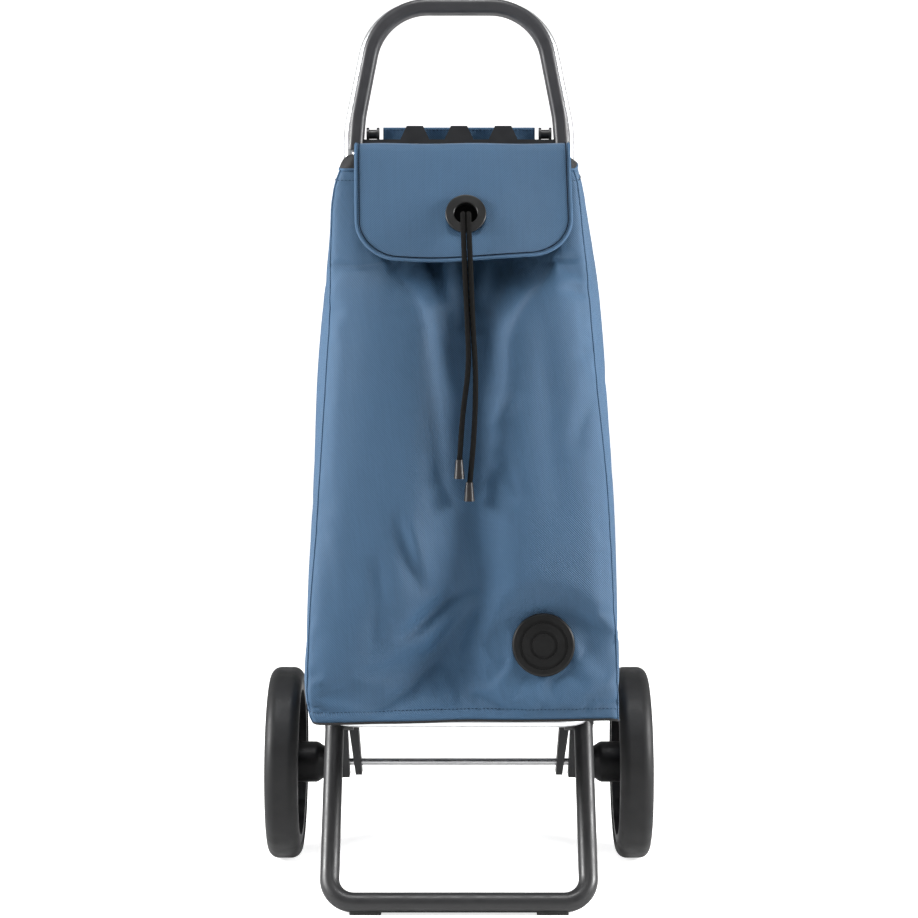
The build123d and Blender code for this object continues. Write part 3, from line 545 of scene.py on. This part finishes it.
def bag_ring(share):
    """One ring of the bag; share runs from 0 at the hem to 1 at the mouth."""
    z_front = HEM_FRONT_Z + share * (BAG_TOP_Z - HEM_FRONT_Z)
    z_back = HEM_BACK_Z + share * (BAG_TOP_Z + BAG_BACK_RISE - HEM_BACK_Z)
    left = -smooth(BAG_LEFT, z_front)
    seam_in = smooth(SEAM_INSET, share)
    right = smooth(BAG_RIGHT, z_front) - seam_in
    back = smooth(BAG_BACK_HALF, z_front)
    y_front = np.interp(z_front, *zip(BAG_FRONT_LOW, BAG_FRONT_TOP))
    belly = math.sin(math.pi * min(1.0, share * 1.05))
    fold_depth = SIDE_FOLD * math.sin(math.pi * share)

    t = np.arange(FRONT_SEGMENTS) / FRONT_SEGMENTS
    x = left + t * (right - left)
    y = y_front - np.sin(math.pi * t) ** FRONT_SQUARENESS * front_depth(x, z_front)
    z = z_front + HEM_TILT * x * max(0.0, 1 - share / HEM_TILT_SHARE)
    front = np.stack([x, y, z], 1)

    def right_fold(t):
        return fold_depth * bell(t - 0.52 - 0.05 * math.sin(share * 7), SIDE_FOLD_WIDTH)

    def left_fold(t):
        return fold_depth * bell(t - 0.46 - 0.05 * math.sin(share * 6 + 1), SIDE_FOLD_WIDTH)

    front_right, back_right = (right, y_front, z_front), (back, BAG_BACK_Y, z_back)
    front_left, back_left = (left, y_front, z_front), (-back, BAG_BACK_Y, z_back)
    right_side = side_wall(front_right, back_right, 1, RIGHT_BULGE * belly + 1.1 * seam_in, right_fold)
    left_side = side_wall(back_left, front_left, -1, LEFT_BULGE * belly, left_fold)

    t = np.arange(BACK_SEGMENTS) / BACK_SEGMENTS
    sag = BACK_SAG * np.abs(np.sin(t * 21 + 2 * math.sin(share * 8)) * np.sin(math.pi * t))
    rear = np.stack([back * (1 - 2 * t), BAG_BACK_Y - sag, z_back + 0 * t], 1)

    points = np.concatenate([front, right_side, rear, left_side])
    for _ in range(CORNER_ROUNDING):
        points = (np.roll(points, 1, 0) + 2 * points + np.roll(points, -1, 0)) / 4
    return points


# ------------------------------------------------------------------ bag: the cloth run

FABRIC = {
    "quality": 6, "mass": 0.25, "tension_stiffness": 30, "compression_stiffness": 12,
    "shear_stiffness": 8, "bending_stiffness": 1.2,
}
CLOTH_FRAMES = 20
CLOTH_GROWTH = 0.02
CLOTH_PRESSURE = 0.8
# The run moves the cloth at most this far, and less sideways, where the seams hold the outline
CLOTH_REACH = 0.005
CLOTH_SIDEWAYS = 0.3
HEM_HELD_ROWS = 3
MOUTH_HELD_ROWS = 4
FLAP_REST_HOLD = 0.5
FLAP_REST_Z = 0.67
FLAP_REST_BLEND = 0.06


def bag_hold(rings):
    """How firmly each point is held in the cloth run, from 0 to 1: hem, mouth, back, badge and flap."""
    x, y, z = rings[:, :, 0], rings[:, :, 1], rings[:, :, 2]
    held = FLAP_REST_HOLD * np.clip((z - FLAP_REST_Z) / FLAP_REST_BLEND, 0, 1) * (y < -0.15)
    held[:HEM_HELD_ROWS] = 1.0
    held[-MOUTH_HELD_ROWS:] = 1.0
    back_start = FRONT_SEGMENTS + SIDE_SEGMENTS
    held[:, back_start:back_start + BACK_SEGMENTS + 1] = 1.0
    behind_badge = (np.hypot(x - EMBLEM_SPOT[0], z - EMBLEM_SPOT[1]) < EMBLEM_FLAT_R) & (y < -0.2)
    held[behind_badge] = 1.0
    return held


def settle(grid, held):
    """Lets a closed ring grid of cloth buckle in a short cloth run."""
    draft = sheet("cloth_draft", grid, cloth, ring=True)
    group = draft.vertex_groups.new(name="held")
    for index, hold in enumerate(held.ravel()):
        if hold > 0:
            group.add([index], float(hold), "REPLACE")
    run = draft.modifiers.new("cloth", "CLOTH")
    for setting, value in FABRIC.items():
        setattr(run.settings, setting, value)
    run.settings.vertex_group_mass = "held"
    run.settings.shrink_min = -CLOTH_GROWTH
    run.settings.use_pressure = True
    run.settings.uniform_pressure_force = CLOTH_PRESSURE
    run.settings.effector_weights.gravity = 0
    run.point_cache.frame_start = 1
    run.point_cache.frame_end = CLOTH_FRAMES
    for frame_number in range(1, CLOTH_FRAMES + 1):
        bpy.context.scene.frame_set(frame_number)
    settled = draft.evaluated_get(bpy.context.evaluated_depsgraph_get()).data
    moved = np.array([tuple(v.co) for v in settled.vertices]).reshape(grid.shape) - grid
    bpy.context.scene.frame_set(1)
    bpy.data.objects.remove(draft)
    moved[:, :, 0] *= CLOTH_SIDEWAYS
    far = np.linalg.norm(moved, axis=2, keepdims=True)
    return grid + moved * CLOTH_REACH / np.sqrt(CLOTH_REACH ** 2 + far ** 2)


rings = np.array([bag_ring(share) for share in np.linspace(0, 1, BAG_ROWS)])
rings = settle(rings, bag_hold(rings))

# ------------------------------------------------------------------ bag: its pieces

BAG_CLOTH_T = 0.0011
EMPTY_BAG = {"joint": "platform_fold", "axis": (0, 1, 0), "anchor": (0, BAG_BACK_Y, 0), "keep": 0.10}
SEAM_COLUMNS = {
    "front_left": 0,
    "front_right": FRONT_SEGMENTS,
    "back_right": FRONT_SEGMENTS + SIDE_SEGMENTS,
    "back_left": FRONT_SEGMENTS + SIDE_SEGMENTS + BACK_SEGMENTS,
}
STITCHED_ROWS = {"hem": 3, "mouth": BAG_ROWS - 4}
STITCH = {"length": 0.0028, "gap": 0.0014, "radius": 0.00035, "lift": 0.0010}
SEAM_R = 0.0009
SEAM_PROUD = 0.0002
HEM_EDGE_R = 0.0013
MOUTH_EDGE_R = 0.0014
EDGE_STEP = 0.004


def outward(path, centre):
    """Unit vectors from the upright line at centre out through each point of a path."""
    away = path - np.array(centre)
    away[:, 2] = 0
    return away / np.linalg.norm(away, axis=1)[:, None]


bag = thicken(sheet("bag_cloth", rings, cloth, ring=True), BAG_CLOTH_T, -1.0)
fit(bag, body="frame", node="bag", empty=EMPTY_BAG)

bag_trim = [
    tube("bag_hem_edge", resample(closed(rings[0]), EDGE_STEP), HEM_EDGE_R, lining, 8),
    tube("bag_mouth_edge", resample(closed(rings[-1]), EDGE_STEP), MOUTH_EDGE_R, piping_cloth, 8),
]
for seam, column in SEAM_COLUMNS.items():
    line = resample(rings[:, column], EDGE_STEP)
    line += outward(line, BAG_CENTRE) * SEAM_PROUD
    bag_trim.append(tube(f"bag_piping_{seam}", line, SEAM_R, cloth, 10))
for label, row in STITCHED_ROWS.items():
    line = closed(rings[row])
    bag_trim.append(stitches(f"bag_{label}_stitches", line, outward(line, BAG_CENTRE), **STITCH, look=thread))
for piece in bag_trim:
    fit(piece, body="frame", empty=EMPTY_BAG)

# ------------------------------------------------------------------ bag floor, which lifts with the board

FLOOR_Z = 0.2145
FLOOR_FRONT_Y = -0.262
FLOOR_BACK_Y = -0.030
FLOOR_HALF = 0.158
FLOOR_CORNER = 0.018
FLOOR_CORNER_SHARE = 0.08
FLOOR_RIPPLE = 0.0006
FLOOR_ROWS = 31
FLOOR_COLS = 41

floor_rows = []
for i in range(FLOOR_ROWS):
    t = i / (FLOOR_ROWS - 1)
    y = FLOOR_FRONT_Y + t * (FLOOR_BACK_Y - FLOOR_FRONT_Y)
    into_corner = max(0.0, 1 - min(t, 1 - t) / FLOOR_CORNER_SHARE)
    half = FLOOR_HALF - FLOOR_CORNER * (1 - math.sqrt(1 - into_corner ** 2))
    row = []
    for j, x in enumerate(np.linspace(-half, half, FLOOR_COLS)):
        row.append((x, y, FLOOR_Z + FLOOR_RIPPLE * math.sin(j * 0.9) * math.sin(i * 0.7)))
    floor_rows.append(row)
fit(thicken(sheet("bag_floor", floor_rows, floor_cloth), 0.0012), body="board")

# ------------------------------------------------------------------ collar inside the mouth

# (share of the collar, how far in from the mouth, how far above it)
COLLAR_PROFILE = (
    (0.0, 0.0030, -0.014), (0.25, 0.0008, 0.000), (0.5, 0.0040, 0.009),
    (0.75, 0.0110, 0.0155), (1.0, 0.0260, 0.0185),
)
COLLAR_INSET = [(share, inset) for share, inset, _ in COLLAR_PROFILE]
COLLAR_RISE = [(share, rise) for share, _, rise in COLLAR_PROFILE]
COLLAR_ROWS = 26
COLLAR_CENTRE = (0.0, -0.113, 0.0)
COLLAR_EDGE_R = 0.0024

mouth = rings[-1]
mouth_out = outward(mouth, COLLAR_CENTRE)
turn = np.arange(len(mouth)) * 2 * math.pi / len(mouth)
# the collar lies flatter where the mouth already rises towards the back
rise_left = 1 - 0.9 * (mouth[:, 2] - BAG_TOP_Z) / BAG_BACK_RISE
collar_rows = []
for t in np.linspace(0, 1, COLLAR_ROWS):
    pleat = t * (0.0014 * np.sin(turn * 46) + 0.0008 * np.sin(turn * 19 + 1.0))
    row = mouth - mouth_out * (smooth(COLLAR_INSET, t) + pleat)[:, None]
    row[:, 2] += smooth(COLLAR_RISE, t) * rise_left
    collar_rows.append(row)
collar = thicken(sheet("collar_cloth", collar_rows, lining, ring=True), 0.001)
collar_edge = tube("collar_edge", resample(closed(collar_rows[-1]), 0.003), COLLAR_EDGE_R, lining, 8)
fit(collar, body="frame", node="bag_collar", empty=EMPTY_BAG)
fit(collar_edge, body="frame", empty=EMPTY_BAG)

# ------------------------------------------------------------------ flap

# Side view of the flap's outer face from its sewn edge, over the mouth and down the front, as (y, z)
FLAP_PATH = (
    (-0.030, 0.8255), (-0.110, 0.8268), (-0.185, 0.8268), (-0.1975, 0.8250), (-0.2035, 0.8200),
    (-0.2085, 0.8080), (-0.2190, 0.7790), (-0.2320, 0.7450), (-0.2425, 0.7180), (-0.2495, 0.6975),
)
FLAP_HALF = 0.1165
FLAP_CORNER = 0.045
FLAP_STEP = 0.0025
FLAP_COLS = 94
FLAP_T = 0.0018
FLAP_LINING_DROP = 0.0062
# Drift of the flap's middle to the right, by distance along it
FLAP_LEAN = ((0.0, 0.0035), (0.2, 0.0040), (0.34, 0.0075))
# How much the lower edge is lifted, by x
FLAP_LOW_EDGE = (
    (-0.12, 0.0035), (-0.075, 0.0020), (-0.035, 0.0), (0.0, 0.0008), (0.045, 0.0040), (0.085, 0.0080),
    (0.12, 0.010),
)
FLAP_FRONT_START = 0.17
FLAP_END_GAP = 0.0003
FLAP_PIPING_R = 0.0016
FLAP_PIPING_SINK = 0.0006
FLAP_SEAM_INSET = 0.0036
FLAP_SEAM_PROUD = 0.0001
FLAP_SEAM_R = 0.0006
FLAP_STITCH = {"length": 0.0030, "gap": 0.0012, "radius": 0.00045, "lift": 0.0010}
EYELET = (0.0073, -0.2296, 0.7465)
EYELET_CUT_R = 0.0195
EYELET_DISH = 0.0015
EYELET_DISH_R = 0.028
EYELET_OUT = np.array([0.0, -0.93, 0.3675])
EYELET_UP = np.array([0.0, 0.3675, 0.93])
ACROSS = np.array([1.0, 0.0, 0.0])
EMPTY_FLAP = {"joint": "platform_fold", "axis": (0, 1, 0), "anchor": (0, -0.030, 0), "keep": 0.10}

flap_path = resample([(0, y, z) for y, z in FLAP_PATH], FLAP_STEP)
flap_length = FLAP_STEP * (len(flap_path) - 1)
flap_run = np.linspace(0, flap_length, len(flap_path))
flap_tangent = np.gradient(flap_path, axis=0)
flap_tangent /= np.linalg.norm(flap_tangent, axis=1)[:, None]
flap_normal = np.cross(flap_tangent, ACROSS)


def flap_half(run):
    """Half-width of the flap at a distance along it: rounded at the lower corners."""
    left = flap_length - run
    if left > FLAP_CORNER:
        return FLAP_HALF
    return FLAP_HALF - FLAP_CORNER + math.sqrt(max(0.0, FLAP_CORNER ** 2 - (FLAP_CORNER - left) ** 2))


def flap_point(u, run, lift=0.0):
    """A point of the flap's outer face; u runs from -1 to 1 across it."""
    x = u * flap_half(run)
    low = max(0.0, run - FLAP_FRONT_START) / (flap_length - FLAP_FRONT_START)
    at = run - low * smooth(FLAP_LOW_EDGE, x)
    lean = smooth(FLAP_LEAN, at)
    centre = along_path(flap_path, flap_run, at)
    out = along_path(flap_normal, flap_run, at)
    wave = low * (0.0018 * math.sin(x * 42 + 0.6) - 0.0045 * (abs(x) / FLAP_HALF) ** 3)
    ripple = 0.0005 * math.sin(x * 61 + 25 * run) * math.sin(run * 33)
    dish = EYELET_DISH * bell(math.hypot(x + lean - EYELET[0], centre[2] - EYELET[2]), EYELET_DISH_R)
    return centre + out * (wave + ripple - dish + lift) + ACROSS * (x + lean)


def flap_border(inset):
    """Points and outward vectors round the flap's free edge, inset from it."""
    straight = np.linspace(0.004, flap_length - FLAP_CORNER, 60)
    corner_x = FLAP_HALF - FLAP_CORNER
    corner_run = flap_length - FLAP_CORNER
    reach = FLAP_CORNER - inset
    corner = []
    for angle in np.linspace(0.03, math.pi / 2, 18):
        corner.append((corner_x + reach * math.cos(angle), corner_run + reach * math.sin(angle)))
    spots = [(-(FLAP_HALF - inset), run) for run in straight]
    spots += [(-x, run) for x, run in corner]
    spots += [(x, flap_length - inset) for x in np.linspace(0.002 - corner_x, corner_x - 0.002, 60)]
    spots += corner[::-1]
    spots += [(FLAP_HALF - inset, run) for run in straight[::-1]]
    points, away = [], []
    for x, run in spots:
        run = min(run, flap_length - 0.0004)
        u = max(-1.0, min(1.0, x / flap_half(run)))
        points.append(flap_point(u, run))
        away.append(flap_point(u, run, 0.001) - points[-1])
    away = np.array(away)
    return np.array(points), away / np.linalg.norm(away, axis=1)[:, None]


def cut_hole(piece, centre, radius):
    """Opens a round hole in a sheet's front and draws the cut edge onto the circle."""
    hole = bmesh.new()
    hole.from_mesh(piece.data)

    def apart(point):
        return math.hypot(point.x - centre[0], (point.z - centre[2]) / EYELET_UP[2])

    inside = [v for v in hole.verts if apart(v.co) < radius * 0.9 and v.co.y < -0.2]
    bmesh.ops.delete(hole, geom=inside, context="VERTS")
    for vert in hole.verts:
        if vert.is_boundary and apart(vert.co) < radius * 1.5:
            grow = radius / apart(vert.co)
            vert.co.x = centre[0] + (vert.co.x - centre[0]) * grow
            vert.co.z = centre[2] + (vert.co.z - centre[2]) * grow
    hole.to_mesh(piece.data)
    hole.free()


flap_rows = []
for run in flap_run:
    run = min(run, flap_length - FLAP_END_GAP)
    flap_rows.append([flap_point(u, run) for u in np.linspace(-1, 1, FLAP_COLS + 1)])
flap = sheet("flap_cloth", flap_rows, cloth)
cut_hole(flap, EYELET, EYELET_CUT_R)
# the sheet's normals point inwards, so the cloth grows in from its outer face
thicken(flap, FLAP_T, 1.0)
fit(flap, body="flap", node="flap", empty=EMPTY_FLAP)

lining_rows = []
for run in flap_run[4:-3:2]:
    lining_rows.append([flap_point(u, run, -FLAP_LINING_DROP) for u in np.linspace(-0.96, 0.96, 61)])
flap_lining = sheet("flap_lining", lining_rows, lining)
cut_hole(flap_lining, EYELET, EYELET_CUT_R)
thicken(flap_lining, 0.0008)
fit(flap_lining, body="flap", empty=EMPTY_FLAP)

edge, edge_out = flap_border(0.0)
seam, seam_out = flap_border(FLAP_SEAM_INSET)
piping_line = resample(edge - edge_out * FLAP_PIPING_SINK, 0.0025)
seam_line = resample(seam + seam_out * FLAP_SEAM_PROUD, 0.003)
flap_trim = (
    tube("flap_piping", piping_line, FLAP_PIPING_R, piping_cloth, 10),
    stitches("flap_stitches", seam, seam_out, **FLAP_STITCH, look=thread),
    tube("flap_seam_line", seam_line, FLAP_SEAM_R, thread, 6),
)
for piece in flap_trim:
    fit(piece, body="flap", empty=EMPTY_FLAP)

# ------------------------------------------------------------------ painted shade: a black cup of lining cloth behind the eyelet, keeping the hole black instead of showing the blue front behind it

# (radius, depth behind the flap) of each ring of the painted-shade cup; the cup moves with the eyelet
EYELET_SHADE_CUP = ((0.0185, 0.0026), (0.0180, 0.0055), (0.0145, 0.0090), (0.0070, 0.0102), (0.0005, 0.0104))

shade_cup_rows = []
for radius, depth in EYELET_SHADE_CUP:
    centre = np.array(EYELET) - EYELET_OUT * depth
    turns = np.linspace(0, 2 * math.pi, 48, endpoint=False)
    shade_cup_rows.append([centre + radius * (ACROSS * math.cos(a) + EYELET_UP * math.sin(a)) for a in turns])
# painted shade: the black cloth cup darkens the eyelet hole
fit(thicken(sheet("eyelet_shade_cup", shade_cup_rows, lining, ring=True), 0.0006), body="flap_front")

# ------------------------------------------------------------------ drawcords

CORD_R = 0.0028
BRAID_PITCH = 0.017
BRAID_RELIEF = 0.00042
CORD_LINES = {
    "left": (
        (0.0043, -0.2240, 0.7424), (0.0043, -0.2380, 0.7478), (0.0045, -0.2484, 0.7356),
        (0.0062, -0.2600, 0.690), (0.0086, -0.2620, 0.637), (0.0098, -0.2630, 0.585),
        (0.0040, -0.2625, 0.532), (0.0003, -0.2620, 0.479),
    ),
    "right": (
        (0.0103, -0.2240, 0.7424), (0.0103, -0.2380, 0.7478), (0.0105, -0.2484, 0.7356),
        (0.0123, -0.2600, 0.690), (0.0147, -0.2620, 0.631), (0.0176, -0.2630, 0.572),
        (0.0160, -0.2625, 0.514), (0.0110, -0.2620, 0.455),
    ),
}


def braid(angle, run):
    """Height of a round braid: two sets of strands winding opposite ways."""
    turn = run * 2 * math.pi / BRAID_PITCH
    strands = np.maximum(np.abs(np.sin(2 * angle + turn)), np.abs(np.sin(2 * angle - turn)))
    return BRAID_RELIEF * (strands - 0.75)


for side, line in CORD_LINES.items():
    cord = tube(f"cord_braid_{side}", rounded(line, 0.0011), CORD_R, cord_cloth, 24, braid)
    fit(cord, node=f"cord_{side}")
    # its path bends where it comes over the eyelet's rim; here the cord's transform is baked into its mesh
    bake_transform(cord)

# ------------------------------------------------------------------ hanging strip behind the crosspiece

STRIP_HALF = 0.089
STRIP_Y = -0.005
STRIP_LOW_Z = 0.8345
STRIP_HEIGHT = 0.021
STRIP_SEAM_Z = 0.8525
STRIP_STITCH = {"length": 0.0028, "gap": 0.0014, "radius": 0.0004, "lift": 0.0008}
STRIP_ROWS = 9
STRIP_COLS = 61

strip_rows = []
for t in np.linspace(0, 1, STRIP_ROWS):
    row = []
    for j, x in enumerate(np.linspace(-STRIP_HALF, STRIP_HALF, STRIP_COLS)):
        row.append((x, STRIP_Y + 0.0006 * t * math.sin(j * 0.5), STRIP_LOW_Z + t * STRIP_HEIGHT))
    strip_rows.append(row)
strip = thicken(sheet("hanging_strip", strip_rows, cloth), 0.0016)
fit(strip, body="frame", node="hang_strip")

strip_line = np.array([(x, STRIP_Y - 0.0011, STRIP_SEAM_Z) for x in np.linspace(-0.087, 0.087, 60)])
forward = np.tile((0.0, -1.0, 0.0), (len(strip_line), 1))
strip_seam = stitches("strip_stitches", strip_line, forward, **STRIP_STITCH, look=thread)
fit(strip_seam, body="frame")

# ------------------------------------------------------------------ studio

FLOOR_SIZE = 7.0
WALL_AT = 5.0
WALL_CURVE = 1.0
WALL_TOP = 6.0
PAPER_GLOW = 0.72
SKY_FOR_GLOSS = 0.32
SKY_FOR_DIFFUSE = 0.08
STUDIO_LIGHTS = (
    # name, place, aimed at, size, power
    ("left", (-2.5, -0.55, 1.25), (0, -0.1, 0.5), 1.1, 118),
    ("right", (2.5, -0.55, 1.2), (0, -0.1, 0.5), 1.1, 113),
    ("top", (0.0, -0.7, 3.0), (0, -0.1, 0.6), 0.9, 38),
)
CAMERA_PLACE = (0.0, -2.8, 0.68)
CAMERA_LENS = 93.34
CAMERA_SENSOR = 36
CAMERA_DROP = -0.1983


def backdrop_look():
    """Pale paper that the camera sees as white, with only the soft shadows showing on it."""
    look = Look("backdrop", 0.9)
    spot = look.stretched("Object", (1, 1, 1))
    look.tint(look.noise(spot, 1.5, 2), (0.84, 0.84, 0.84), (0.88, 0.88, 0.88))
    look.bump(look.noise(spot, 300, 2), 0.0001)
    seen = look.node("ShaderNodeLightPath")
    look.shader.inputs["Emission Color"].default_value = (1, 1, 1, 1)
    glow = look.weighed([(seen.outputs["Is Camera Ray"], PAPER_GLOW)])
    look.join(glow, look.shader.inputs["Emission Strength"])
    return look.material


def add_backdrop():
    """A pale floor that curves up into a wall."""
    profile = [(-FLOOR_SIZE, 0.0), (WALL_AT - WALL_CURVE, 0.0)]
    turns = np.linspace(0.1, math.pi / 2, 16)
    profile += [(WALL_AT - WALL_CURVE * (1 - math.sin(a)), WALL_CURVE * (1 - math.cos(a))) for a in turns]
    profile += [(WALL_AT, WALL_TOP)]
    rows = [[(x, y, z) for x in np.linspace(-FLOOR_SIZE, FLOOR_SIZE, 9)] for y, z in profile]
    sheet("backdrop", rows, backdrop_look())


def add_world():
    """A white surround: full for the camera, dim as a light, between the two in reflections."""
    world = bpy.data.worlds.new("studio")
    bpy.context.scene.world = world
    world.use_nodes = True
    nodes = world.node_tree.nodes
    links = world.node_tree.links
    seen = nodes.new("ShaderNodeLightPath")
    soft = nodes.new("ShaderNodeMapRange")
    soft.inputs["To Min"].default_value = SKY_FOR_GLOSS
    soft.inputs["To Max"].default_value = SKY_FOR_DIFFUSE
    strength = nodes.new("ShaderNodeMath")
    strength.operation = "MAXIMUM"
    links.new(seen.outputs["Is Diffuse Ray"], soft.inputs["Value"])
    links.new(soft.outputs["Result"], strength.inputs[0])
    links.new(seen.outputs["Is Camera Ray"], strength.inputs[1])
    links.new(strength.outputs[0], nodes["Background"].inputs["Strength"])
    nodes["Background"].inputs["Color"].default_value = (1, 1, 1, 1)


def add_light(name, place, aim, size, power):
    light = bpy.data.lights.new(name, "AREA")
    light.shape = "DISK"
    light.size = size
    light.energy = power
    lamp = bpy.data.objects.new(name, light)
    lamp.location = place
    lamp.rotation_euler = (Vector(aim) - Vector(place)).to_track_quat("-Z", "Y").to_euler()
    bpy.context.scene.collection.objects.link(lamp)


def add_camera():
    """A level camera whose lens is dropped, as on a view camera; moved elsewhere it's centred again."""
    camera = bpy.data.cameras.new("camera")
    camera.lens = CAMERA_LENS
    camera.sensor_width = CAMERA_SENSOR
    holder = bpy.data.objects.new("camera", camera)
    holder.location = CAMERA_PLACE
    holder.rotation_euler = (math.pi / 2, 0, 0)
    bpy.context.scene.collection.objects.link(holder)
    bpy.context.scene.camera = holder
    drop = camera.driver_add("shift_y").driver
    height = drop.variables.new()
    height.name = "height"
    height.type = "TRANSFORMS"
    height.targets[0].id = holder
    height.targets[0].transform_type = "LOC_Z"
    drop.expression = f"{CAMERA_DROP} if abs(height - {CAMERA_PLACE[2]}) < 0.0001 else 0"


add_backdrop()
add_world()
for light in STUDIO_LIGHTS:
    add_light(*light)
add_camera()
bpy.context.scene.view_settings.view_transform = "Standard"
